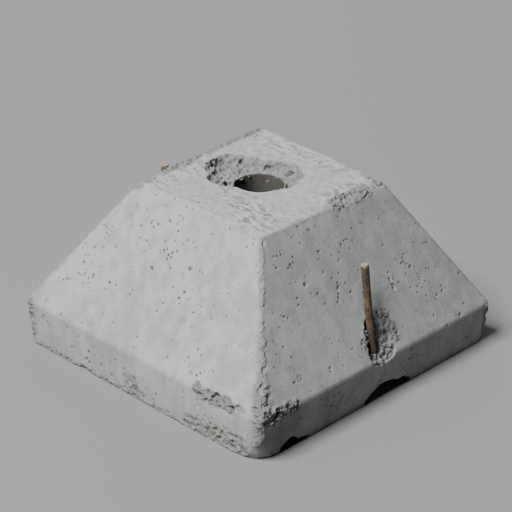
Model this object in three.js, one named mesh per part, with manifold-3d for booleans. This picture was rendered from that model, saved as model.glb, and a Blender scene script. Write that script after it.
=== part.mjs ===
// A square concrete base block for a post: a low plate with a cut-off pyramid on it, cast in one,
// a round hole down the middle of the top, and a bare steel lifting bar cast into each of two sides.
// Millimetres, +Z up, origin at the middle of the underside. The bars stand on the +X and -X sides.

import * as THREE from 'three';
import { mergeVertices } from 'three/addons/utils/BufferGeometryUtils.js';
import Module from 'manifold-3d';

const wasm = await Module();
wasm.setup();

// Driving dimensions
const plateSide = 500;
const plateHeight = 73;
const topHeight = 275;
const rimHeight = 277;
const rimWidth = 36;
const topSide = 258;
const boreDiameter = 74;
const boreFloor = 70;
const boreCentre = { x: 1, y: -3 };
const barDiameter = 12;
const barFoot = { out: 233.7, height: 78 };
const barBuried = 40;
const rightBarRise = 135;
const leftBarRise = 154.6;
const socketGap = 0.3;

// How far each corner stands in from its true square, along x and along y, with minus for outward,
// and how far the rim of the top and the arris of the plate are above or below their own heights
// there. The mould was rough, so the foot narrows towards the +X side.
const cornerNames = ['left', 'front', 'right', 'back'];
const cornerSigns = { left: [-1, -1], front: [1, -1], right: [1, 1], back: [-1, 1] };
const footDraw = { left: [1, -1], front: [8, -1], right: [6, 5], back: [4, 4] };
const arrisDraw = { left: [-4, -3], front: [0, 0], right: [0, 0], back: [1, 1] };
const topDraw = { left: [3.5, 1.5], front: [0, 1], right: [-6, 0], back: [-1, -3] };
const rimLift = { left: -3, front: 0.5, right: -6, back: -1 };
const arrisLift = { left: 0, front: 0, right: -7, back: -2 };

// Concrete spilled over the mould stands up along the two far edges of the top, from one place along
// the edge to another. It rises and sinks away again over a short stretch at each end.
const rimSpill = { left: { height: 5, from: -104, to: 150 }, back: { height: 4.6, from: -150, to: 104 } };
const spillEase = { left: 14, back: 30 };
const spillReach = 14;

// Edge and corner rounding, how far each sloping corner swells out halfway up, the unevenness of the
// cast faces, and how finely they are faceted
const footRound = 1.6;
const arrisRound = 2.5;
const topRound = 3;
const footCorner = { left: 6, front: 50, right: 10, back: 14 };
const plateCorner = { left: 5, front: 17, right: 7, back: 10 };
const hipCorner = { left: 3, front: 5, right: 8, back: 6 };
const hipSwell = { left: 1, front: 0, right: 0, back: 1 };
const faceWave = 1.2;
const cornerSteps = 4;
const edgeSteps = 12;
const slopeSteps = 5;
const boreSides = 40;
const barSides = 16;
const barSteps = 16;

const concreteGrey = new THREE.MeshStandardMaterial({ color: 0xb4b5b4, roughness: 0.92, metalness: 0 });
const rustBrown = new THREE.MeshStandardMaterial({ color: 0x6b5138, roughness: 0.85, metalness: 0.2 });

// Smooth noise from 0 to 1, the same for the same place and seed
function lattice(x, y, z, seed) {
  const mixed = Math.sin(x * 127.1 + y * 311.7 + z * 74.7 + seed * 53.3) * 43758.5453;
  return mixed - Math.floor(mixed);
}

function noise(x, y, z, seed) {
  const cell = [Math.floor(x), Math.floor(y), Math.floor(z)];
  const ease = [x - cell[0], y - cell[1], z - cell[2]].map((t) => t * t * (3 - 2 * t));
  let sum = 0;
  for (let corner = 0; corner < 8; corner += 1) {
    const step = [corner & 1, (corner >> 1) & 1, corner >> 2];
    const share = step.reduce((all, s, axis) => all * (s ? ease[axis] : 1 - ease[axis]), 1);
    sum += share * lattice(cell[0] + step[0], cell[1] + step[1], cell[2] + step[2], seed);
  }
  return sum;
}

// Solids and meshes
function solidOf(geometry) {
  const bare = geometry.index ? geometry.toNonIndexed() : geometry.clone();
  bare.deleteAttribute('normal');
  bare.deleteAttribute('uv');
  const merged = mergeVertices(bare, 1e-4);
  const vertProperties = merged.attributes.position.array;
  const triVerts = new Uint32Array(merged.index.array);
  return new wasm.Manifold(new wasm.Mesh({ numProp: 3, vertProperties, triVerts }));
}

function geometryOf(solid) {
  const mesh = solid.getMesh();
  const geometry = new THREE.BufferGeometry();
  geometry.setAttribute('position', new THREE.BufferAttribute(mesh.vertProperties, 3));
  geometry.setIndex(new THREE.BufferAttribute(mesh.triVerts, 1));
  geometry.computeVertexNormals();
  return geometry;
}

// The four corners of a square of the given side at a height, drawn in and lifted by name
function squareAt(side, height, draw, lift = {}) {
  return cornerNames.map((name) => {
    const [signX, signY] = cornerSigns[name];
    const x = signX * (side / 2 - draw[name][0]);
    const y = signY * (side / 2 - draw[name][1]);
    return new THREE.Vector3(x, y, height + (lift[name] ?? 0));
  });
}

const mixCorners = (from, to, share) => from.map((corner, i) => corner.clone().lerp(to[i], share));

// The same corners moved in by an even distance and raised
function insetCorners(corners, inset, raise = 0) {
  return corners.map((corner, i) => {
    const [signX, signY] = cornerSigns[cornerNames[i]];
    return new THREE.Vector3(corner.x - signX * inset, corner.y - signY * inset, corner.z + raise);
  });
}

// The same corners moved out from the middle, each by its own distance along x and along y
function swelled(corners, swell, share) {
  return corners.map((corner, i) => {
    const [signX, signY] = cornerSigns[cornerNames[i]];
    const out = swell[cornerNames[i]] * share;
    return new THREE.Vector3(corner.x + signX * out, corner.y + signY * out, corner.z);
  });
}

const levelCorners = (corners, height) => corners.map(({ x, y }) => new THREE.Vector3(x, y, height));

// One closed outline through four corners, each rounded by its own radius, each edge in equal steps
function outline(corners, radii) {
  const radiusOf = (i) => radii[cornerNames[i % 4]];
  const points = [];
  corners.forEach((corner, i) => {
    const before = corners[(i + 3) % 4];
    const after = corners[(i + 1) % 4];
    const start = corner.clone().lerp(before, radiusOf(i) / corner.distanceTo(before));
    const end = corner.clone().lerp(after, radiusOf(i) / corner.distanceTo(after));
    const nextStart = after.clone().lerp(corner, radiusOf(i + 1) / corner.distanceTo(after));
    points.push(...new THREE.QuadraticBezierCurve3(start, corner, end).getPoints(cornerSteps));
    for (let step = 1; step < edgeSteps; step += 1) {
      points.push(end.clone().lerp(nextStart, step / edgeSteps));
    }
  });
  return points;
}

// A slow wave of the cast face, outward or inward, that leaves the flat top and underside alone
function waved(points) {
  return points.map((point) => {
    const lift = 2 * noise(point.x / 90, point.y / 90, point.z / 70, 5) - 1;
    const outward = new THREE.Vector3(point.x, point.y, 0).normalize();
    return point.clone().addScaledVector(outward, lift * faceWave);
  });
}

// The same outline with the spilled concrete of the two far edges added to it, in the given share
function spilled(points, share) {
  const window = (place, { height, from, to }, ease) => height
    * THREE.MathUtils.smoothstep(place, from, from + ease)
    * (1 - THREE.MathUtils.smoothstep(place, to - ease, to));
  return points.map(({ x, y, z }) => {
    const onLeft = x < -topSide / 2 + spillReach ? window(y, rimSpill.left, spillEase.left) : 0;
    const onBack = y > topSide / 2 - spillReach ? window(x, rimSpill.back, spillEase.back) : 0;
    const lumps = 0.7 + 0.6 * noise(x / 17, y / 17, 0, 6);
    return new THREE.Vector3(x, y, z + Math.max(onLeft, onBack) * lumps * share);
  });
}

// A closed skin through outlines of equal length, from the underside up
function loft(outlines) {
  const places = [];
  const count = outlines[0].length;
  const push = (...points) => points.forEach((point) => places.push(point.x, point.y, point.z));
  outlines.slice(1).forEach((upper, level) => {
    const lower = outlines[level];
    for (let i = 0; i < count; i += 1) {
      const next = (i + 1) % count;
      push(lower[i], lower[next], upper[next]);
      push(lower[i], upper[next], upper[i]);
    }
  });
  const middleOf = (points) => points
    .reduce((sum, point) => sum.add(point), new THREE.Vector3())
    .divideScalar(count);
  const bottom = outlines[0];
  const top = outlines[outlines.length - 1];
  const bottomMiddle = middleOf(bottom);
  const topMiddle = middleOf(top);
  for (let i = 0; i < count; i += 1) {
    const next = (i + 1) % count;
    push(bottomMiddle, bottom[next], bottom[i]);
    push(topMiddle, top[i], top[next]);
  }
  const geometry = new THREE.BufferGeometry();
  geometry.setAttribute('position', new THREE.Float32BufferAttribute(places, 3));
  return geometry;
}

// The whole casting before any break: plate, arris, slopes, the raised rim and the flat top inside it
function wholeCasting() {
  const foot = squareAt(plateSide, 0, footDraw);
  const arris = squareAt(plateSide, plateHeight, arrisDraw, arrisLift);
  const rim = squareAt(topSide, rimHeight, topDraw, rimLift);
  const sideAt = (height) => mixCorners(foot, arris, height / plateHeight);
  const slopeAt = (height) => mixCorners(arris, rim, (height - plateHeight) / (rimHeight - plateHeight));
  const softArris = mixCorners(sideAt(plateHeight - arrisRound), slopeAt(plateHeight + arrisRound), 0.5);
  const shoulder = slopeAt(rimHeight - topRound);
  const crest = insetCorners(rim, topRound * 0.6, -topRound * 0.12);
  const lowCorner = Object.fromEntries(
    cornerNames.map((name) => [name, footCorner[name] * 0.55 + plateCorner[name] * 0.45]),
  );
  const rings = [
    outline(insetCorners(foot, footRound), footCorner),
    waved(outline(insetCorners(foot, footRound * 0.2, footRound * 0.8), footCorner)),
    waved(outline(sideAt(plateHeight * 0.16), lowCorner)),
    waved(outline(sideAt(plateHeight / 2), plateCorner)),
    waved(outline(sideAt(plateHeight - arrisRound), plateCorner)),
    waved(outline(softArris, plateCorner)),
  ];
  for (let step = 0; step <= slopeSteps; step += 1) {
    const share = step / slopeSteps;
    const corners = mixCorners(slopeAt(plateHeight + arrisRound), shoulder, share);
    const full = swelled(corners, hipSwell, Math.sin(Math.PI * share));
    rings.push(waved(outline(full, hipCorner)));
  }
  rings.push(spilled(waved(outline(mixCorners(shoulder, crest, 0.6), hipCorner)), 0.6));
  rings.push(spilled(outline(crest, hipCorner), 1));
  const dish = insetCorners(mixCorners(crest, levelCorners(rim, topHeight), 0.6), rimWidth * 0.3);
  rings.push(spilled(waved(outline(dish, hipCorner)), 0.45));
  rings.push(outline(levelCorners(insetCorners(rim, rimWidth), topHeight), hipCorner));
  return solidOf(loft(rings));
}

// A piece of lost concrete: a ball with a broken, lumpy skin, stretched to the size of the break.
// Lean tips it about Y, so that it can lie along a slope.
function lostPiece({ at, size, lean = 0, rough = 0.3, lump = 1.6, seed, detail = 4 }) {
  const ball = new THREE.IcosahedronGeometry(1, detail);
  const places = ball.attributes.position;
  const point = new THREE.Vector3();
  for (let i = 0; i < places.count; i += 1) {
    point.fromBufferAttribute(places, i);
    const coarse = noise(point.x * lump + 9, point.y * lump + 9, point.z * lump + 9, seed) - 0.5;
    const fine = noise(point.x * lump * 3, point.y * lump * 3, point.z * lump * 3, seed + 1) - 0.5;
    point.multiplyScalar(1 + rough * (coarse + 0.45 * fine));
    places.setXYZ(i, point.x * size[0], point.y * size[1], point.z * size[2]);
  }
  ball.rotateY(lean);
  ball.translate(...at);
  return solidOf(ball);
}

const slopeRun = (plateSide - topSide) / 2 / (rimHeight - plateHeight);
const slopeLean = -Math.atan(slopeRun);

function uprightCylinder(radius, bottom, top) {
  const cylinder = new THREE.CylinderGeometry(radius, radius, top - bottom, boreSides);
  cylinder.rotateX(Math.PI / 2);
  cylinder.translate(boreCentre.x, boreCentre.y, (top + bottom) / 2);
  return solidOf(cylinder);
}

// The broken hollow round the mouth of the bore. It lies left of the bore and behind it, while the
// rim in front is whole, and a thin lip of the bore's own wall still stands in the hollow.
function mouthBreak() {
  const lipWall = 4;
  const lipHeight = topHeight - 6;
  const hollow = lostPiece({ at: [-49, 7, topHeight + 5], size: [54, 48, 24], seed: 11, detail: 6 })
    .add(lostPiece({ at: [-6, 42, topHeight + 7], size: [47, 35, 25], seed: 23, detail: 6 }))
    .add(lostPiece({ at: [29, 20, topHeight + 3], size: [20, 31, 13], seed: 37 }))
    .add(lostPiece({ at: [-38, -36, topHeight + 4], size: [33, 20, 15], seed: 41, detail: 5 }))
    .add(lostPiece({ at: [-44, -19, topHeight - 10], size: [9, 13, 11], seed: 43, detail: 3 }));
  const lip = uprightCylinder(boreDiameter / 2 + lipWall, boreFloor, lipHeight);
  return hollow.subtract(lip);
}

// Breaks at the foot of the bar on the +X side: a pocket behind it, a rough right flank, room all
// round the foot itself, and a ledge that falls outward and carries the break through the arris
function barPocket() {
  const { out, height } = barFoot;
  const lean = slopeLean;
  return lostPiece({ at: [out + 4, 3, height + 27], size: [15, 19, 32], lean, seed: 3, rough: 0.2 })
    .add(lostPiece({ at: [out + 8, 20, height + 21], size: [13, 18, 28], lean, seed: 8 }))
    .add(lostPiece({ at: [out + 7, -1, height + 9], size: [17, 17, 12], seed: 10, rough: 0.15, detail: 3 }))
    .add(lostPiece({ at: [out + 25, 6, height + 2], size: [20, 33, 33], lean, seed: 14, rough: 0.2 }));
}

// The plainer pocket at the foot of the bar on the far side
function farPocket() {
  const { out, height } = barFoot;
  return lostPiece({ at: [-out - 6, -3, height + 22], size: [15, 18, 29], lean: -slopeLean, seed: 31 });
}

// Smaller breaks, each by its place on the block: x and y from the middle, z from the underside
const half = plateSide / 2;
const topHalf = topSide / 2;
const frontCornerBreaks = [
  { at: [half - 21, -half + 21, plateHeight + 41], size: [8, 8, 11], seed: 51, rough: 0.6, detail: 3 },
  { at: [half - 1, -half - 3, plateHeight + 13], size: [12, 12, 17], lean: -0.3, seed: 52, rough: 0.6 },
  { at: [half + 4, -half + 31, plateHeight - 2], size: [9, 27, 10], seed: 53, rough: 0.7 },
  { at: [half - 45, -half - 6, plateHeight + 3], size: [33, 9, 7], seed: 54, rough: 0.6 },
  { at: [half - 88, -half - 6, plateHeight + 4], size: [20, 10, 10], seed: 55, rough: 0.6 },
];
const hollowsUnderFoot = [
  { at: [half - 14, 12, -4], size: [44, 41, 29], seed: 61, rough: 0.12 },
  { at: [half - 16, 46, -4], size: [38, 28, 22], seed: 63, rough: 0.12, detail: 3 },
  { at: [half - 18, -half + 64, -4], size: [32, 20, 25], seed: 62, rough: 0.15 },
  { at: [half - 18, -half + 83, -4], size: [30, 26, 13], seed: 64, rough: 0.15, detail: 3 },
];
const rimAndCornerChips = [
  { at: [topHalf + 3, 54, rimHeight + 1], size: [19, 37, 10], seed: 71, rough: 0.5 },
  { at: [half + 8, half + 4, 6], size: [17, 16, 26], seed: 81 },
  { at: [-half - 8, -half - 6, 2], size: [15, 13, 14], seed: 82, detail: 3 },
  { at: [-half + 120, -half - 6, 0], size: [22, 9, 9], seed: 83, rough: 0.4, detail: 3 },
];
const farSideChips = [
  { at: [-half - 6, half - 100, plateHeight], size: [11, 38, 9], seed: 91, rough: 0.4 },
  { at: [-60, half + 8, plateHeight], size: [44, 12, 9], seed: 92, rough: 0.4 },
  { at: [120, half - 2, -3], size: [48, 22, 13], seed: 93 },
  { at: [-half + 2, -90, -3], size: [20, 40, 12], seed: 94 },
];

// A path through corners, each rounded off over the same reach
function bentPath(corners, reach) {
  const path = new THREE.CurvePath();
  const towards = (from, to) => from.clone().add(to.clone().sub(from).setLength(reach));
  let last = corners[0];
  corners.slice(1, -1).forEach((corner, i) => {
    const before = towards(corner, corners[i]);
    const after = towards(corner, corners[i + 2]);
    path.add(new THREE.LineCurve3(last, before));
    path.add(new THREE.QuadraticBezierCurve3(before, corner, after));
    last = after;
  });
  path.add(new THREE.LineCurve3(last, corners[corners.length - 1]));
  return path;
}

// A steel bar in its own frame: the origin is where it leaves the concrete, its foot goes down into
// it, and above a slight bend at the lip of the pocket it leans in over the slope.
function barSolid(radius, rise, endGap) {
  const bend = new THREE.Vector3(-14.2, 0, 67);
  const upperLean = -0.13;
  const bendReach = 14;
  const path = bentPath([
    new THREE.Vector3(-3, 0, -barBuried - endGap),
    new THREE.Vector3(0, 0, -10),
    bend,
    new THREE.Vector3(bend.x + (rise - bend.z) * upperLean, 0, rise),
  ], bendReach);
  const corners = Array.from({ length: barSides }, (_, i) => {
    const angle = (i / barSides) * Math.PI * 2;
    return new THREE.Vector2(radius * Math.cos(angle), radius * Math.sin(angle));
  });
  const section = new THREE.Shape(corners);
  return new THREE.ExtrudeGeometry(section, { extrudePath: path, steps: barSteps });
}

const bars = [
  { name: 'lifting_bar_right', rise: rightBarRise, turn: 0 },
  { name: 'lifting_bar_left', rise: leftBarRise, turn: Math.PI },
];

const baseBlock = new THREE.Group();

let block = wholeCasting()
  .subtract(uprightCylinder(boreDiameter / 2, boreFloor, rimHeight))
  .subtract(mouthBreak())
  .subtract(barPocket())
  .subtract(farPocket());
[...frontCornerBreaks, ...hollowsUnderFoot, ...rimAndCornerChips, ...farSideChips].forEach((chip) => {
  block = block.subtract(lostPiece(chip));
});

bars.forEach(({ name, rise, turn }) => {
  const side = new THREE.Group();
  side.rotation.z = turn;
  const bar = new THREE.Mesh(barSolid(barDiameter / 2, rise, 0), rustBrown);
  bar.name = name;
  bar.position.set(barFoot.out, 0, barFoot.height);
  side.add(bar);
  side.updateMatrixWorld(true);
  const socket = barSolid(barDiameter / 2 + socketGap, rise, socketGap).applyMatrix4(bar.matrixWorld);
  block = block.subtract(solidOf(socket));
  baseBlock.add(side);
});

const blockMesh = new THREE.Mesh(geometryOf(block), concreteGrey);
blockMesh.name = 'concrete_block';
baseBlock.add(blockMesh);

export default baseBlock;
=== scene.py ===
# A weathered concrete base block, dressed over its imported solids: one casting with air holes, worn
# edges and a broken crater round its post hole, and the stubs of two rusty lifting bars.

import math

import bmesh
import bpy
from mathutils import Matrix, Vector


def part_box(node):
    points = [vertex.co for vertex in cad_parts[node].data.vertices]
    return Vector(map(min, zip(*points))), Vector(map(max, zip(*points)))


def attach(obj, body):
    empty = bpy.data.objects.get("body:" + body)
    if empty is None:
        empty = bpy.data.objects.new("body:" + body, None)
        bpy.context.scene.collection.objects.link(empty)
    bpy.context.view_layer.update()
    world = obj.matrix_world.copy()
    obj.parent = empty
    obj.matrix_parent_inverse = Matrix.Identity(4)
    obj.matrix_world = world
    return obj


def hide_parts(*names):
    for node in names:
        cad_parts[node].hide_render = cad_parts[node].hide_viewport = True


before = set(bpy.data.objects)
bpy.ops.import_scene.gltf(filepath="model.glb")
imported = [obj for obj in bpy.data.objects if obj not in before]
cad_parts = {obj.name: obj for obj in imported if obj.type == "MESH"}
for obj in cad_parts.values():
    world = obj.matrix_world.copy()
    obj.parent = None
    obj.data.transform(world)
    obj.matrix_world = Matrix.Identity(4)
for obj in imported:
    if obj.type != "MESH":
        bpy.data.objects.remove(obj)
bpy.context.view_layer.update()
mm = 0.001
hair = 0.01 * mm  # what lies nearer than this counts as together
up = Vector((0.0, 0.0, 1.0))
scene = bpy.context.scene
print("frame loaded:", ", ".join(sorted(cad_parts)))


# Maths on node sockets, written as it is said

class Wire:  # one output socket
    def __init__(self, board, socket):
        self.board = board
        self.socket = socket

    def also(self, name):  # another output of the same node
        return Wire(self.board, self.socket.node.outputs[name])

    def __add__(self, other):
        return self.board.maths("ADD", self, other)

    def __radd__(self, other):
        return self.board.maths("ADD", other, self)

    def __sub__(self, other):
        return self.board.maths("SUBTRACT", self, other)

    def __rsub__(self, other):
        return self.board.maths("SUBTRACT", other, self)

    def __mul__(self, other):
        return self.board.maths("MULTIPLY", self, other)

    def __rmul__(self, other):
        return self.board.maths("MULTIPLY", other, self)

    def __truediv__(self, other):
        return self.board.maths("DIVIDE", self, other)

    def __pow__(self, other):
        return self.board.maths("POWER", self, other)

    def __gt__(self, other):
        return self.board.maths("GREATER_THAN", self, other)

    def __lt__(self, other):
        return self.board.maths("LESS_THAN", self, other)


class Board:  # the node tree of a material or of Geometry Nodes
    def __init__(self, tree):
        self.tree = tree

    def feed(self, socket, value):
        if isinstance(value, Wire):
            self.tree.links.new(value.socket, socket)
        else:
            socket.default_value = value

    def node(self, kind, settings=None, inputs=()):  # settings first, then sockets by name or in order
        made = self.tree.nodes.new(kind)
        for name, value in (settings or {}).items():
            setattr(made, name, value)
        live = [socket for socket in made.inputs if socket.enabled]
        pairs = zip(live, inputs)
        if isinstance(inputs, dict):
            pairs = [(next(s for s in live if s.name == name), value) for name, value in inputs.items()]
        for socket, value in pairs:
            self.feed(socket, value)
        shown = [socket for socket in made.outputs if socket.enabled]
        return Wire(self, shown[0] if shown else None)

    def maths(self, operation, *values):
        return self.node("ShaderNodeMath", {"operation": operation}, values)

    def vector(self, operation, *values):
        return self.node("ShaderNodeVectorMath", {"operation": operation}, values)

    def value(self, number):
        made = self.node("ShaderNodeValue")
        made.socket.default_value = number
        return made

    def scaled(self, direction, length):
        sockets = {"Vector": direction, "Scale": length}
        return self.node("ShaderNodeVectorMath", {"operation": "SCALE"}, sockets)

    def smooth(self, value, low, high):  # 0 at low and 1 at high, eased
        ease = {"Value": value, "From Min": low, "From Max": high}
        return self.node("ShaderNodeMapRange", {"interpolation_type": "SMOOTHSTEP"}, ease)

    def noise(self, place, scale, detail=2.0, roughness=0.5):
        sockets = {"Vector": place, "Scale": scale, "Detail": detail, "Roughness": roughness}
        return self.node("ShaderNodeTexNoise", None, sockets)

    def cells(self, place, scale, feature="F1", randomness=1.0):
        sockets = {"Vector": place, "Scale": scale, "Randomness": randomness}
        return self.node("ShaderNodeTexVoronoi", {"feature": feature}, sockets)

    def blend(self, share, first, second):  # of two colours
        return self.node("ShaderNodeMix", {"data_type": "RGBA"}, {"Factor": share, "A": first, "B": second})

    def join(self, shapes):
        joined = self.tree.nodes.new("GeometryNodeJoinGeometry")
        for shape in reversed(shapes):
            self.tree.links.new(shape.socket, joined.inputs[0])
        return Wire(self, joined.outputs[0])

    def most(self, *values):
        best = values[0]
        for value in values[1:]:
            best = self.maths("MAXIMUM", best, value)
        return best


# Camera, lights and floor

camera = {
    "azimuth": 44.68,  # degrees round from the side that faces -Y
    "elevation": 27.93,
    "distance": 3.0284,
    "aimHeight": 147.43 * mm,
    "aimAside": -6.13 * mm,
    "lens": 140.625,
    "sensor": 36.0,
}
lights = {  # where each stands, from the place that it is aimed at: degrees round and up, m and W
    "key_light": {"aim": (0, 0, 0.147), "azimuth": -4, "elevation": 55.4, "distance": 9.0, "size": 3.9,
                  "power": 1930, "tint": (1.0, 1.0, 1.0)},
    "back_light": {"aim": (-0.9, 0.9, 0), "azimuth": 225, "elevation": 52, "distance": 2.2, "size": 2.0,
                   "power": 27, "tint": (1.0, 1.0, 1.0)},
}
skyLight = {"tint": (0.80, 0.88, 1.0, 1.0), "strength": 0.01}
floorFinish = {"reach": 20.0, "colour": (0.215, 0.215, 0.215, 1.0), "roughness": 0.9}


def outwards(azimuth, elevation):  # the direction from the block towards a light or the camera
    turn = math.radians(azimuth)
    rise = math.radians(elevation)
    return Vector((math.sin(turn) * math.cos(rise), -math.cos(turn) * math.cos(rise), math.sin(rise)))


def aimed(thing, name, aim, direction, distance):
    piece = bpy.data.objects.new(name, thing)
    scene.collection.objects.link(piece)
    piece.location = aim + direction * distance
    piece.rotation_euler = direction.to_track_quat("Z", "Y").to_euler()
    return piece


def makeCamera():
    lens = bpy.data.cameras.new("camera")
    lens.lens = camera["lens"]
    lens.sensor_width = camera["sensor"]
    turn = math.radians(camera["azimuth"])
    aside = Vector((math.cos(turn), math.sin(turn), 0)) * camera["aimAside"]
    aim = aside + Vector((0, 0, camera["aimHeight"]))
    direction = outwards(camera["azimuth"], camera["elevation"])
    scene.camera = aimed(lens, "camera", aim, direction, camera["distance"])


def makeLights():
    for name, light in lights.items():
        lamp = bpy.data.lights.new(name, "AREA")
        lamp.size = light["size"]
        lamp.energy = light["power"]
        lamp.color = light["tint"]
        direction = outwards(light["azimuth"], light["elevation"])
        aimed(lamp, name, Vector(light["aim"]), direction, light["distance"])
    sky = bpy.data.worlds.new("sky")
    sky.use_nodes = True
    background = sky.node_tree.nodes["Background"]
    background.inputs["Color"].default_value = skyLight["tint"]
    background.inputs["Strength"].default_value = skyLight["strength"]
    scene.world = sky


def newMaterial(name):
    material = bpy.data.materials.new(name)
    material.use_nodes = True
    material.node_tree.nodes.clear()
    return material, Board(material.node_tree)


def finishMaterial(board, sockets):
    shader = board.node("ShaderNodeBsdfPrincipled", None, sockets)
    board.node("ShaderNodeOutputMaterial", None, {"Surface": shader})


def makeFloor():
    reach = floorFinish["reach"]
    mesh = bpy.data.meshes.new("floor")
    corners = [(-reach, -reach, 0), (reach, -reach, 0), (reach, reach, 0), (-reach, reach, 0)]
    mesh.from_pydata(corners, [], [(0, 1, 2, 3)])
    floor = bpy.data.objects.new("floor", mesh)
    scene.collection.objects.link(floor)
    material, board = newMaterial("pale floor")
    finishMaterial(board, {"Base Color": floorFinish["colour"], "Roughness": floorFinish["roughness"]})
    mesh.materials.append(material)


makeCamera()
makeLights()
makeFloor()
print("camera, lights and floor made")


# Geometry Nodes: a tree with named inputs, run on a piece and kept as a plain mesh

def newTree(name, sockets):
    tree = bpy.data.node_groups.new(name, "GeometryNodeTree")
    tree.interface.new_socket(name="Mesh", in_out="OUTPUT", socket_type="NodeSocketGeometry")
    tree.interface.new_socket(name="Mesh", in_out="INPUT", socket_type="NodeSocketGeometry")
    for label, kind in sockets.items():
        tree.interface.new_socket(name=label, in_out="INPUT", socket_type="NodeSocket" + kind)
    return Board(tree), tree.nodes.new("NodeGroupInput")


def closeTree(board, shape, material):  # copies made real, the finish set, and out
    real = board.node("GeometryNodeRealizeInstances", None, [shape])
    dressed = board.node("GeometryNodeSetMaterial", None, {"Geometry": real, "Material": material})
    board.node("NodeGroupOutput", None, [dressed])


def keep(board, shape, name, value):  # a value stored on the points for the material
    sockets = {"Geometry": shape, "Name": name, "Value": value}
    return board.node("GeometryNodeStoreNamedAttribute", {"data_type": "FLOAT", "domain": "POINT"}, sockets)


def addTree(piece, tree, values):
    modifier = piece.modifiers.new(tree.name, "NODES")
    modifier.node_group = tree
    for item in tree.interface.items_tree:
        if item.in_out == "INPUT" and item.name in values:
            modifier[item.identifier] = values[item.name]


def bake(piece):  # the evaluated shape becomes the piece's own plain mesh
    scene.view_layers[0].update()
    view = bpy.context.evaluated_depsgraph_get()
    mesh = bpy.data.meshes.new_from_object(piece.evaluated_get(view), depsgraph=view)
    piece.modifiers.clear()
    piece.data = mesh


def copyOf(node, name):  # a merged copy of a CAD node, without its materials
    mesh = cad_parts[node].data.copy()
    mesh.materials.clear()
    work = bmesh.new()
    work.from_mesh(mesh)
    bmesh.ops.remove_doubles(work, verts=work.verts, dist=hair)
    work.to_mesh(mesh)
    work.free()
    piece = bpy.data.objects.new(name, mesh)
    scene.collection.objects.link(piece)
    return piece


def remesh(piece, voxel, rounds):  # an even mesh over the solid, with its facets eased
    grid = piece.modifiers.new("even mesh", "REMESH")
    grid.mode = "VOXEL"
    grid.voxel_size = voxel
    grid.use_smooth_shade = True
    ease = piece.modifiers.new("eased facets", "SMOOTH")
    ease.factor = 0.5
    ease.iterations = rounds


plainBelow = 0.02  # where the spared value is under this, the skin is plain and loses faces first


def thin(piece, faces, spared=None):  # down to a number of triangles
    piece.data.calc_loop_triangles()
    count = len(piece.data.loop_triangles)
    if count > faces:
        fewer = piece.modifiers.new("fewer faces", "DECIMATE")
        fewer.ratio = faces / count
        if spared:
            group = piece.vertex_groups.new(name="plain skin")
            points = piece.data.attributes[spared].data
            plain = [row for row, point in enumerate(points) if point.value < plainBelow]
            group.add(plain, 1.0, "REPLACE")
            fewer.vertex_group = group.name
            fewer.vertex_group_factor = 1.0
        bake(piece)
        piece.vertex_groups.clear()
    piece.data.shade_smooth()
    piece.data.calc_loop_triangles()
    print(piece.name, "has", len(piece.data.loop_triangles), "triangles of", count)


# The casting

casting = {
    "voxel": 1.4 * mm,
    "easing": 4,
    "faces": 196000,
    "plateHalf": 250 * mm,
    "plateHeight": 73 * mm,
    "topHalf": 129 * mm,
    "topHeight": 275 * mm,
    "rimHeight": 277 * mm,
    "boreCentre": (1 * mm, -3 * mm, 0.0),
    "boreRadius": 37 * mm,
    "waves": 13.0,  # from here on: how fine each pattern is, in waves or cells to the metre
    "crowds": 16.0,
    "lumps": 42.0,
    "wander": 55.0,
    "wear": 70.0,
    "bites": 82.0,
    "ragged": 90.0,
    "stones": 105.0,
    "chips": 120.0,
    "grain": 130.0,
    "pores": 210.0,
    "grit": 250.0,
}
castingSkin = {
    "Skin Wave": 0.9 * mm,
    "Skin Grain": 0.35 * mm,
    "Top Grain": 1.6 * mm,
    "Break Lumps": 6 * mm,
    "Stones": 7 * mm,
    "Grit": 3.2 * mm,
    "Bite Depth": 5 * mm,
    "Pore Density": 4200.0,
    "Pore Spacing": 4.5 * mm,
    "Smallest Pore": 1.2 * mm,
    "Largest Pore": 2.3 * mm,
    "Seed": 4,
}

half = casting["plateHalf"]
low = casting["plateHeight"]
high = casting["topHeight"]
rim = casting["rimHeight"]
inner = casting["topHalf"]


def outAt(height):  # how far out a side of the plate or a slope is, at a height
    share = max(0.0, (height - low) / (rim - low))
    return half + (inner - half) * share


def onHip(signX, signY, height):  # a place on one of the four sloping edges
    return Vector((signX * outAt(height), signY * outAt(height), height))


def onFront(aside, height):  # a place on the side that faces -Y, in mm
    return Vector((aside * mm, -outAt(height * mm), height * mm))


def onRight(aside, height):  # a place on the side that faces +X, in mm
    return Vector((outAt(height * mm), aside * mm, height * mm))


def onTop(x, y):  # in mm
    return Vector((x * mm, y * mm, high))


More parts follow.
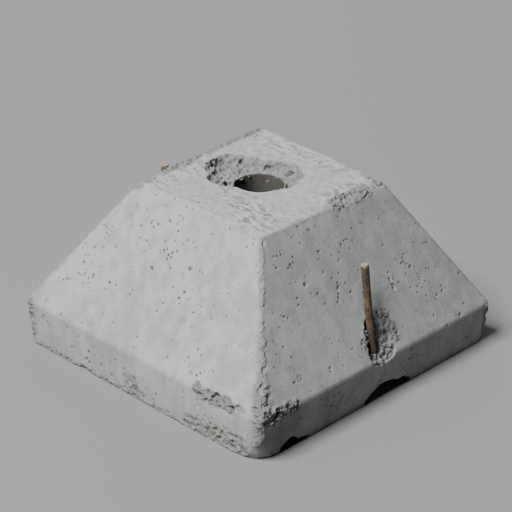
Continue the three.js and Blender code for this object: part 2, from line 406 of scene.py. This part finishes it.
wornSeams = [  # edges and patches that are rougher than the rest: from, to, reach in mm and how rough
    (onHip(1, -1, 85 * mm), onHip(1, -1, 270 * mm), 8, 0.5),
    (onHip(1, -1, 80 * mm), onHip(1, -1, 165 * mm), 12, 0.6),
    (onHip(1, -1, 66 * mm), onHip(1, -1, 106 * mm), 22, 0.9),
    (onFront(188, 73), onFront(122, 73), 14, 1.0),
    (onRight(-250, 70), onRight(-182, 71), 16, 1.0),
    (onHip(1, -1, 8 * mm), onHip(1, -1, 64 * mm), 22, 0.4),
    (onHip(1, 1, 80 * mm), onHip(1, 1, 272 * mm), 6, 0.35),
    (onHip(-1, -1, 80 * mm), onHip(-1, -1, 272 * mm), 6, 0.25),
    (onHip(-1, 1, 80 * mm), onHip(-1, 1, 272 * mm), 7, 0.6),
    (onTop(129, 26), onTop(129, 88), 18, 1.0),
    (onTop(-129, -129), onTop(-129, -40), 20, 0.6),
    (onTop(-129, -30), onTop(-129, 129), 15, 0.9),
    (onTop(-129, 129), onTop(129, 129), 7, 0.25),
    (onRight(30, 122), onRight(40, 92), 13, 0.8),
    (onRight(-20, 100), onRight(-14, 74), 8, 0.6),
    (onHip(1, 1, 8 * mm), onHip(1, 1, 60 * mm), 18, 0.8),
    (onHip(-1, -1, 4 * mm), onHip(-1, -1, 66 * mm), 18, 0.8),
    (onHip(-1, 1, 4 * mm), onHip(-1, 1, 66 * mm), 18, 0.8),
    (onFront(-18, 24), onFront(-6, 8), 24, 0.5),
    (onFront(110, 10), onFront(205, 20), 22, 0.7),
    (onFront(-250, 1), onFront(250, 1), 9, 0.6),
    (onRight(-250, 1), onRight(250, 1), 6, 0.5),
    (Vector((-half, -half, 1 * mm)), Vector((-half, half, 1 * mm)), 9, 0.9),
    (Vector((-half, half, 1 * mm)), Vector((half, half, 1 * mm)), 9, 0.9),
]
scuffs = [  # streaked patches on the top, said in the same way
    (onTop(48, -74), onTop(92, -96), 44, 1.0),
    (onTop(-118, -112), onTop(-112, -40), 34, 0.8),
    (onTop(-80, 108), onTop(60, 112), 26, 0.6),
    (onTop(116, 10), onTop(112, 100), 26, 0.8),
    (onTop(-20, -60), onTop(20, -56), 22, 0.6),
]
placedHoles = [(onFront(aside, height), radius) for aside, height, radius in (
    (-40, 182, 3.7), (28, 202, 3.8), (-61, 140, 2.4), (-59, 146, 2.2), (-110, 132, 2.0), (-93, 141, 1.9),
    (-157, 125, 1.8), (-142, 142, 1.8), (36, 174, 1.9), (51, 140, 4.6), (77, 156, 1.8), (93, 175, 1.7),
    (111, 195, 1.9), (-6, 215, 2.4), (-35, 204, 1.6), (5, 233, 1.9), (17, 234, 1.9), (-41, 246, 2.6),
    (-68, 211, 2.2), (-143, 178, 1.9), (-121, 186, 2.2), (-181, 173, 1.8), (-116, 231, 2.0), (-91, 247, 1.9),
    (-175, 75, 2.3), (-214, 83, 2.0), (-18, 96, 2.0), (-19, 82, 1.9), (96, 117, 2.0), (86, 103, 2.0),
    (136, 102, 2.4), (-136, 54, 2.0), (-151, 30, 2.3), (-118, 23, 3.2), (-99, 37, 1.8), (-85, 25, 2.4),
    (-62, 18, 2.8), (-35, 41, 2.3),
)] + [(onRight(aside, height), radius) for aside, height, radius in (
    (-47, 203, 1.6), (-10, 208, 2.0), (81, 200, 1.8), (4, 224, 2.3), (-31, 177, 2.7), (-28, 183, 2.3),
    (-11, 165, 2.3), (-71, 182, 2.2), (-82, 186, 1.6), (-87, 199, 3.5), (-111, 180, 1.8), (-144, 175, 2.2),
    (-138, 172, 1.9), (72, 150, 2.8), (77, 155, 2.0), (-99, 93, 2.4), (-101, 89, 1.6), (-169, 98, 2.6),
    (-157, 100, 4.1), (162, 112, 2.4), (195, 83, 1.9), (180, 73, 3.1), (135, 133, 1.8), (208, 122, 2.0),
    (-125, 233, 2.0), (128, 88, 1.8), (-69, 27, 5.4), (-51, 22, 1.8), (-128, 58, 2.2), (-171, 44, 3.1),
    (-3, 48, 1.6), (201, 22, 2.3), (193, 21, 1.8), (96, 35, 1.8),
)]
poreSpots = [  # where the air holes crowd: place and reach in mm
    (onFront(-105, 228), 34), (onFront(-40, 244), 32), (onFront(-20, 206), 30), (onFront(-159, 154), 24),
    (onFront(65, 162), 18), (onFront(-102, 141), 22), (onFront(-111, 38), 40), (onFront(-18, 20), 34),
    (onFront(157, 18), 40), (onFront(53, 26), 30), (onRight(-33, 175), 26), (onRight(70, 152), 22),
    (onRight(110, 168), 26), (onRight(130, 109), 24), (onRight(-105, 237), 26), (onRight(8, 216), 26),
    (onRight(-108, 48), 30), (onRight(66, 40), 34),
]
cuts = [  # short cracks: from, to, width and depth in mm
    (onFront(122, 60), onFront(123, 46), 2.4, 5),
    (onRight(70, 158), onRight(72, 143), 2.2, 3),
    (onFront(155, 75), onFront(190, 71), 3.0, 5),
]


def distanceToSeam(board, place, start, end):
    run = end - start
    along = board.vector("DOT_PRODUCT", board.vector("SUBTRACT", place, start), run)
    share = board.node("ShaderNodeClamp", None, [along / run.length_squared, 0.0, 1.0])
    nearest = board.vector("ADD", board.scaled(run, share), start)
    return board.vector("DISTANCE", place, nearest)


def depthOfBreaks(board, shape, height):  # how far the surface lies beneath the unbroken sides
    hulls = []
    for part in (height > low, height < low + hair):
        sockets = {"Geometry": shape, "Selection": part}
        wanted = board.node("GeometryNodeSeparateGeometry", {"domain": "POINT"}, sockets)
        hulls.append(board.node("GeometryNodeConvexHull", None, [wanted]))
    normal = board.node("GeometryNodeInputNormal")
    upright = board.node("ShaderNodeSeparateXYZ", None, [normal]).also("Z")
    flat = board.maths("ABSOLUTE", upright) > 0.8
    sockets = {"Geometry": board.join(hulls), "Selection": flat}
    sides = board.node("GeometryNodeDeleteGeometry", {"domain": "FACE"}, sockets)
    return board.node("GeometryNodeProximity", {"target_element": "FACES"}, [sides]).also("Distance")


def bentPlace(board, place, scale, reach):  # a place pushed about by noise, so that a pattern turns ragged
    push = board.vector("SUBTRACT", board.noise(place, scale, 2.0).also("Color"), (0.5, 0.5, 0.5))
    return board.vector("ADD", place, board.scaled(push, reach))


def valueAt(board, points, row, kind, value):  # what a value is at one of the points
    sockets = {"Geometry": points, "Value": value, "Index": row}
    return board.node("GeometryNodeSampleIndex", {"data_type": kind, "domain": "POINT"}, sockets)


def makeCastingTree():
    board, given = newTree("weathered casting", {
        "Skin Wave": "Float", "Skin Grain": "Float", "Top Grain": "Float", "Break Lumps": "Float",
        "Stones": "Float", "Grit": "Float", "Bite Depth": "Float", "Pore Density": "Float",
        "Pore Spacing": "Float", "Smallest Pore": "Float", "Largest Pore": "Float", "Seed": "Int",
        "Placed Holes": "Object", "Finish": "Material",
    })
    size = {socket.name: Wire(board, socket) for socket in given.outputs if socket.name}
    shape = size["Mesh"]
    place = board.node("GeometryNodeInputPosition")
    normal = board.node("GeometryNodeInputNormal")
    upright = board.node("ShaderNodeSeparateXYZ", None, [normal]).also("Z")
    height = board.node("ShaderNodeSeparateXYZ", None, [place]).also("Z")
    raised = board.smooth(upright, -0.85, -0.4)  # the underside stays flat

    # where the cast skin is gone
    axis = board.vector("MULTIPLY", place, (1.0, 1.0, 0.0))
    fromBore = board.vector("DISTANCE", axis, casting["boreCentre"])
    bore = casting["boreRadius"]
    inBore = board.smooth(fromBore, bore + 1.6 * mm, bore + 0.6 * mm)
    sideDepth = depthOfBreaks(board, shape, height)
    ragged = board.noise(place, casting["ragged"], 2.0) * (3 * mm)
    depth = board.maths("MINIMUM", sideDepth, high - height) - ragged
    broken = board.smooth(depth, 0.2 * mm, 2.2 * mm) * (1 - inBore) * raised
    sockets = {"Geometry": shape, "Selection": broken > 0.6}
    breaks = board.node("GeometryNodeSeparateGeometry", {"domain": "FACE"}, sockets)
    fromBreak = board.node("GeometryNodeProximity", {"target_element": "FACES"}, [breaks]).also("Distance")

    # edges and patches that are worn rough
    wandered = bentPlace(board, place, casting["wander"], 10 * mm)
    fringe = fromBreak + board.noise(place, casting["wear"]) * (9 * mm)
    worn = board.smooth(fringe, 11 * mm, 3 * mm) * 0.8
    for start, end, reach, rough in wornSeams:
        far = distanceToSeam(board, wandered, start, end)
        worn = board.most(worn, board.smooth(far, reach * mm, reach * 0.45 * mm) * rough)
    worn = worn * (1 - inBore)

    # air holes: some in their real places, the rest scattered and crowded in spots
    crowd = board.smooth(board.noise(place, casting["crowds"], 2.0), 0.56, 0.70) * 0.7
    for spot, reach in poreSpots:
        far = board.vector("DISTANCE", wandered, spot)
        crowd = board.most(crowd, board.smooth(far, reach * mm, 0.0))
    upFace = board.smooth(upright, 0.9, 0.6)
    scatter = board.node("GeometryNodeDistributePointsOnFaces", {"distribute_method": "POISSON"}, {
        "Mesh": shape, "Distance Min": size["Pore Spacing"], "Density Max": size["Pore Density"],
        "Density Factor": (0.08 + crowd * 0.9) * (0.4 + upFace * 0.6), "Seed": size["Seed"]})
    chance = board.node("FunctionNodeRandomValue", {"data_type": "FLOAT"}, {"Seed": size["Seed"]})
    radius = size["Smallest Pore"] + (size["Largest Pore"] - size["Smallest Pore"]) * chance ** 3.0
    scattered = keep(board, scatter, "width", radius)
    placed = board.node("GeometryNodeObjectInfo", None, [size["Placed Holes"]]).also("Geometry")
    onSkin = board.node("GeometryNodeProximity", {"target_element": "FACES"}, [shape]).also("Position")
    placed = board.node("GeometryNodeMeshToPoints", None, {"Mesh": placed, "Position": onSkin})
    pores = board.join([scattered, placed])
    bent = bentPlace(board, place, casting["pores"], 2.6 * mm)
    sockets = {"Geometry": pores, "Sample Position": bent}
    nearest = board.node("GeometryNodeSampleNearest", {"domain": "POINT"}, sockets)
    centre = valueAt(board, pores, nearest, "FLOAT_VECTOR", place)
    ownWidth = board.node("GeometryNodeInputNamedAttribute", {"data_type": "FLOAT"}, {"Name": "width"})
    width = valueAt(board, pores, nearest, "FLOAT", ownWidth)
    across = board.vector("DISTANCE", bent, centre) / width
    bowl = board.smooth(across, 1.15, 0.45)
    ring = board.smooth(board.maths("ABSOLUTE", across - 0.8), 0.34, 0.08) * 0.5
    isRing = board.smooth(width, 3.9 * mm, 4.0 * mm)
    pit = (bowl + (ring - bowl) * isRing) * (1 - inBore) * raised
    # painted shade for each air hole: a dark crescent on its upper side, where the rim's shadow falls
    lowered = board.vector("SUBTRACT", bent, board.scaled(up, width * 0.3))
    poreShade = board.smooth(board.vector("DISTANCE", lowered, centre) / width, 1.2, 0.5)
    poreShade = (poreShade + (ring - poreShade) * isRing) * (1 - inBore) * raised

    # stones, grit and bites of the broken concrete, and the moves along the normal
    loose = bentPlace(board, place, casting["ragged"], 7 * mm)
    stones = 0.5 - board.cells(loose, casting["stones"])
    grit = 0.45 - board.cells(loose, casting["grit"])
    lumps = board.noise(place, casting["lumps"], 2.0, 0.55) - 0.5
    bite = board.cells(loose, casting["bites"])
    luck = board.node("ShaderNodeSeparateXYZ", None, [bite.also("Color")])
    bites = board.smooth(bite + (1 - luck) * 0.55, 0.62, 0.38)
    chips = board.smooth(board.noise(place, casting["chips"], 3.0, 0.65), 0.45, 0.62)
    coarse = stones * size["Stones"] + grit * size["Grit"]
    relief = (lumps * size["Break Lumps"] + coarse - bites * size["Bite Depth"]) * broken
    bitten = board.most(bites, chips * 0.55) * size["Bite Depth"]
    wear = worn * (coarse * 0.55 - bitten) * (1 - broken)
    skin = (1 - broken) * (1 - inBore)
    wave = (board.noise(place, casting["waves"], 2.0) - 0.5) * size["Skin Wave"]
    grain = (board.noise(place, casting["grain"], 3.0, 0.6) - 0.5) * size["Skin Grain"]
    aside = board.node("ShaderNodeSeparateXYZ", None, [place])
    frontRim = board.smooth(aside.also("Y"), -105 * mm, -118 * mm)
    rightRim = board.smooth(aside, 100 * mm, 116 * mm)
    onTopFace = board.smooth(height, 270 * mm, 273 * mm) * board.smooth(upright, 0.6, 0.85) * skin
    brushed = board.noise(board.vector("MULTIPLY", place, (80.0, 120.0, 90.0)), 1.0, 3.0, 0.7) - 0.5
    scuffed = board.value(0.0)
    for start, end, reach, rough in scuffs:
        far = distanceToSeam(board, wandered, start, end)
        scuffed = board.most(scuffed, board.smooth(far, reach * mm, reach * 0.3 * mm) * rough)
    hole = pit * width * -0.36
    marks = brushed * onTopFace * (0.35 + scuffed) * size["Top Grain"]
    move = wave * skin + grain * skin + marks + relief + wear + hole
    for start, end, wide, deep in cuts:
        far = distanceToSeam(board, bent, start, end)
        move = move - board.smooth(far, wide * mm, wide * 0.35 * mm) * (deep * mm)
    moved = board.vector("ADD", place, board.scaled(normal, move * raised))
    parts = board.node("ShaderNodeSeparateXYZ", None, [moved])
    above = board.maths("MAXIMUM", parts.also("Z"), 0.0)
    nearRims = board.most(frontRim, rightRim)  # these two are worn low
    above = above - board.maths("MAXIMUM", above - high, 0.0) * nearRims
    moved = board.node("ShaderNodeCombineXYZ", None, [parts, parts.also("Y"), above])
    # of these, the pit value carries the painted shade of the air holes
    told = {
        "broken": broken, "worn": worn, "pit": poreShade, "relief": (relief + wear) / mm,
        "crowd": crowd, "bore": inBore, "scuffed": scuffed,
    }
    for name, value in told.items():
        shape = keep(board, shape, name, value)
    shape = board.node("GeometryNodeSetPosition", None, {"Geometry": shape, "Position": moved})
    closeTree(board, shape, size["Finish"])
    return board.tree


concrete = {
    "light": (0.372, 0.376, 0.374, 1.0),
    "mid": (0.322, 0.329, 0.330, 1.0),
    "dark": (0.245, 0.253, 0.256, 1.0),
    # the top's blue tint is painted sky light
    "top": (0.325, 0.337, 0.352, 1.0),
    # break: the broken concrete's grey, darkened as painted shade between the stones
    "break": (0.105, 0.103, 0.098, 1.0),
    "fleck": (0.12, 0.122, 0.126, 1.0),
    # pale streaks on the top, and on raised bits of breaks crumbs with a painted highlight
    "crumbAndHighlight": (0.42, 0.42, 0.41, 1.0),
    # the colour of painted shade, used in holes, in crevices, down the bore and low on the plate sides
    "hollow": (0.045, 0.044, 0.042, 1.0),
    "bore": (0.075, 0.071, 0.062, 1.0),
    "tan": (0.27, 0.225, 0.16, 1.0),
    "clouds": 8.0,  # from here on: how fine each pattern is, as above
    "patches": 38.0,
    "coarse": 150.0,
    "dots": 170.0,
    "ragged": 300.0,
    "pricks": 430.0,
    "fine": 480.0,
    "sand": 620.0,
}
stainsAndShade = [  # tan stains, and dark patches of painted shade low on the plate sides, strongest near the front corner of the +X side: place, reach in mm, strength and colour
    (onFront(157, 18), 34, 0.5, "tan"), (onFront(112, 12), 20, 0.3, "tan"),
    (onRight(0, 66), 14, 0.25, "tan"),
    (onRight(-205, 36), 62, 0.5, "hollow"), (onRight(-110, 40), 46, 0.22, "hollow"),
    (onFront(20, 10), 60, 0.12, "hollow"), (onFront(-200, 20), 50, 0.1, "hollow"),
]


def stored(board, name):
    return board.node("ShaderNodeAttribute", {"attribute_name": name}).also("Fac")


def makeConcrete():
    material, board = newMaterial("weathered concrete")
    place = board.node("ShaderNodeTexCoord").also("Object")
    height = board.node("ShaderNodeSeparateXYZ", None, [place]).also("Z")
    broken = stored(board, "broken")
    worn = stored(board, "worn")
    # the pit value is the painted shade of the air holes
    pit = stored(board, "pit")
    relief = stored(board, "relief")
    crowd = stored(board, "crowd")
    bore = stored(board, "bore")
    scuffed = stored(board, "scuffed")
    rough = board.most(broken, worn)

    # mottled skin; the top tinted blue as painted sky light
    clouds = board.noise(place, concrete["clouds"], 4.0, 0.6)
    patches = board.noise(place, concrete["patches"], 3.0, 0.6)
    streaks = board.noise(board.vector("MULTIPLY", place, (60.0, 60.0, 6.0)), 1.0, 3.0, 0.6)
    tone = clouds * 0.35 + patches * 0.3 + streaks * 0.35
    colour = board.blend(board.smooth(tone, 0.42, 0.58), concrete["dark"], concrete["light"])
    colour = board.blend(0.35, colour, concrete["mid"])
    atTop = board.smooth(height, 266 * mm, 274 * mm)
    # painted sky light: the top blended towards a bluer tone
    colour = board.blend(atTop * 0.75, colour, concrete["top"])
    brushed = board.noise(board.vector("MULTIPLY", place, (70.0, 140.0, 90.0)), 1.0, 4.0, 0.75)
    flecks = board.smooth(brushed, 0.50, 0.58) * atTop * (0.34 + scuffed * 0.66)
    colour = board.blend(flecks, colour, concrete["fleck"])
    pale = board.smooth(brushed, 0.49, 0.42) * atTop * (0.22 + scuffed * 0.5)
    colour = board.blend(pale, colour, concrete["crumbAndHighlight"])

    # breaks: dark grey, partly the broken concrete's own grey and partly painted shade between the stones;
    # pale on the raised bits, partly crumbs and partly painted highlight
    colour = board.blend(rough * 0.75, colour, concrete["break"])
    crumbsAndHighlight = board.smooth(relief + patches * 4 - 2, 1.4, 3.6) * rough
    colour = board.blend(crumbsAndHighlight * 0.6, colour, concrete["crumbAndHighlight"])
    # the tan ones are stains; the dark ones are painted shade
    for spot, reach, strength, finish in stainsAndShade:
        far = board.vector("DISTANCE", place, spot)
        spread = board.smooth(far + patches * (14 * mm), (reach + 7) * mm, reach * 0.3 * mm)
        colour = board.blend(spread * strength, colour, concrete[finish])

    # small air holes, and painted shade in all hollows: in the air holes, in the pits from the tree and in
    # the crevices of breaks
    bent = bentPlace(board, place, concrete["ragged"], 1.6 * mm)
    small = board.cells(bent, concrete["dots"])
    luck = board.node("ShaderNodeSeparateXYZ", None, [small.also("Color")])
    dot = board.smooth(small - (luck - 0.74 + crowd * 0.42) * 0.75, 0.06, -0.05)
    tiny = board.cells(bent, concrete["pricks"])
    tinyLuck = board.node("ShaderNodeSeparateXYZ", None, [tiny.also("Color")])
    prick = board.smooth(tiny - (tinyLuck - 0.72) * 0.9, 0.06, -0.04) * (0.3 + rough * 0.7)
    creviceShade = board.smooth(relief, 0.6, -2.4) * rough
    # painted shade mask: air holes, pricks and crevices of breaks, kept out of the bore
    hole = board.most(pit, dot, prick * 0.8, creviceShade * 0.85) * (1 - bore)
    colour = board.blend(hole * 0.88, colour, concrete["hollow"])
    sand = board.smooth(board.noise(place, concrete["sand"], 2.0, 0.7), 0.40, 0.62)
    grains = board.blend(sand, concrete["dark"], concrete["light"])
    colour = board.blend(0.12 + 0.3 * rough, colour, grains)
    # the bore wall: its own darker grey-brown near the mouth, with painted shade deepening down the bore
    boreWallAndShade = board.blend(board.smooth(height, 268 * mm, 200 * mm), concrete["bore"], concrete["hollow"])
    colour = board.blend(bore * board.smooth(height, 275 * mm, 270 * mm), colour, boreWallAndShade)

    # the finest relief, which the mesh is too coarse for
    fine = board.noise(place, concrete["fine"], 3.0, 0.65)
    coarse = board.noise(place, concrete["coarse"], 3.0, 0.6)
    grainy = fine * (0.25 + rough * 1.2 + atTop * 0.4) + coarse * (0.3 + rough * 1.4)
    sockets = {"Strength": 1.0, "Distance": mm, "Height": grainy - dot * 1.4 - prick}
    bump = board.node("ShaderNodeBump", None, sockets)
    finishMaterial(board, {
        "Base Color": colour, "Roughness": 0.86 + 0.1 * hole, "Specular IOR Level": 0.3, "Normal": bump})
    return material


def makeHolePoints():  # loose points with a width each, for the tree to read
    mesh = bpy.data.meshes.new("hole_points")
    mesh.from_pydata([place for place, radius in placedHoles], [], [])
    widths = mesh.attributes.new("width", "FLOAT", "POINT")
    widths.data.foreach_set("value", [radius * mm for place, radius in placedHoles])
    points = bpy.data.objects.new("hole_points", mesh)
    scene.collection.objects.link(points)
    return points


def makeCasting():
    piece = copyOf("concrete_block", "concrete_casting")
    coarser = 1.0
    remesh(piece, casting["voxel"] * coarser, casting["easing"])
    points = makeHolePoints()
    addTree(piece, makeCastingTree(), {**castingSkin, "Placed Holes": points, "Finish": makeConcrete()})
    bake(piece)
    bpy.data.objects.remove(points)
    thin(piece, casting["faces"], "pit")
    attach(piece, "root")
    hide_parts("concrete_block")


makeCasting()
print("casting made")


# The lifting bars

barSteel = {
    "voxel": 0.8 * mm,
    "easing": 3,
    "faces": 30000,
    "rust": (0.125, 0.083, 0.052, 1.0),
    "orange": (0.20, 0.125, 0.066, 1.0),
    "black": (0.028, 0.021, 0.017, 1.0),
    "cutEnd": (0.25, 0.22, 0.15, 1.0),
    "blotches": 60.0,  # from here on: how fine each pattern is, as above
    "flakes": 160.0,
    "pits": 260.0,
    "crust": 380.0,
}
barSkin = {"Scale Depth": 0.5 * mm, "Pit Depth": 0.5 * mm}


def makeBarTree():
    board, given = newTree("rust scale", {
        "Scale Depth": "Float", "Pit Depth": "Float", "Finish": "Material",
    })
    size = {socket.name: Wire(board, socket) for socket in given.outputs if socket.name}
    place = board.node("GeometryNodeInputPosition")
    normal = board.node("GeometryNodeInputNormal")
    flakes = (board.noise(place, barSteel["flakes"], 3.0, 0.6) - 0.5) * size["Scale Depth"]
    pits = board.smooth(board.cells(place, barSteel["pits"]), 0.3, 0.0) * size["Pit Depth"] * -1.0
    relief = flakes + pits
    shape = keep(board, size["Mesh"], "relief", relief / mm)
    sockets = {"Geometry": shape, "Offset": board.scaled(normal, relief)}
    moved = board.node("GeometryNodeSetPosition", None, sockets)
    closeTree(board, moved, size["Finish"])
    return board.tree


def makeRust(name, endHeight):  # the cut end is paler than the rest, and the foot darker
    material, board = newMaterial(name)
    place = board.node("ShaderNodeTexCoord").also("Object")
    height = board.node("ShaderNodeSeparateXYZ", None, [place]).also("Z")
    blotch = board.noise(place, barSteel["blotches"], 4.0, 0.65)
    crust = board.noise(place, barSteel["crust"], 3.0, 0.7)
    relief = stored(board, "relief")
    colour = board.blend(board.smooth(blotch, 0.38, 0.64), barSteel["black"], barSteel["rust"])
    colour = board.blend(board.smooth(crust, 0.44, 0.66) * 0.75, colour, barSteel["orange"])
    colour = board.blend(board.smooth(relief, -0.1, -0.5) * 0.6, colour, barSteel["black"])
    foot = board.smooth(height, 150 * mm, 95 * mm)
    colour = board.blend(foot * 0.55, colour, barSteel["black"])
    atEnd = board.smooth(height + crust * (4 * mm), endHeight - 4 * mm, endHeight + 0.5 * mm)
    colour = board.blend(atEnd, colour, barSteel["cutEnd"])
    bump = board.node("ShaderNodeBump", None, {"Strength": 1.0, "Distance": mm, "Height": crust * 0.5})
    finishMaterial(board, {
        "Base Color": colour, "Roughness": 0.78 + 0.15 * crust, "Metallic": 0.15 * (1 - atEnd),
        "Normal": bump})
    return material


def makeBars():
    tree = makeBarTree()
    for side in ("right", "left"):
        node = "lifting_bar_" + side
        piece = copyOf(node, "rusty_bar_" + side)
        remesh(piece, barSteel["voxel"], barSteel["easing"])
        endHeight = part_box(node)[1].z
        addTree(piece, tree, {**barSkin, "Finish": makeRust("rusty steel " + side, endHeight)})
        bake(piece)
        thin(piece, barSteel["faces"])
        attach(piece, "root")
        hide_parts(node)


makeBars()
print("bars made")
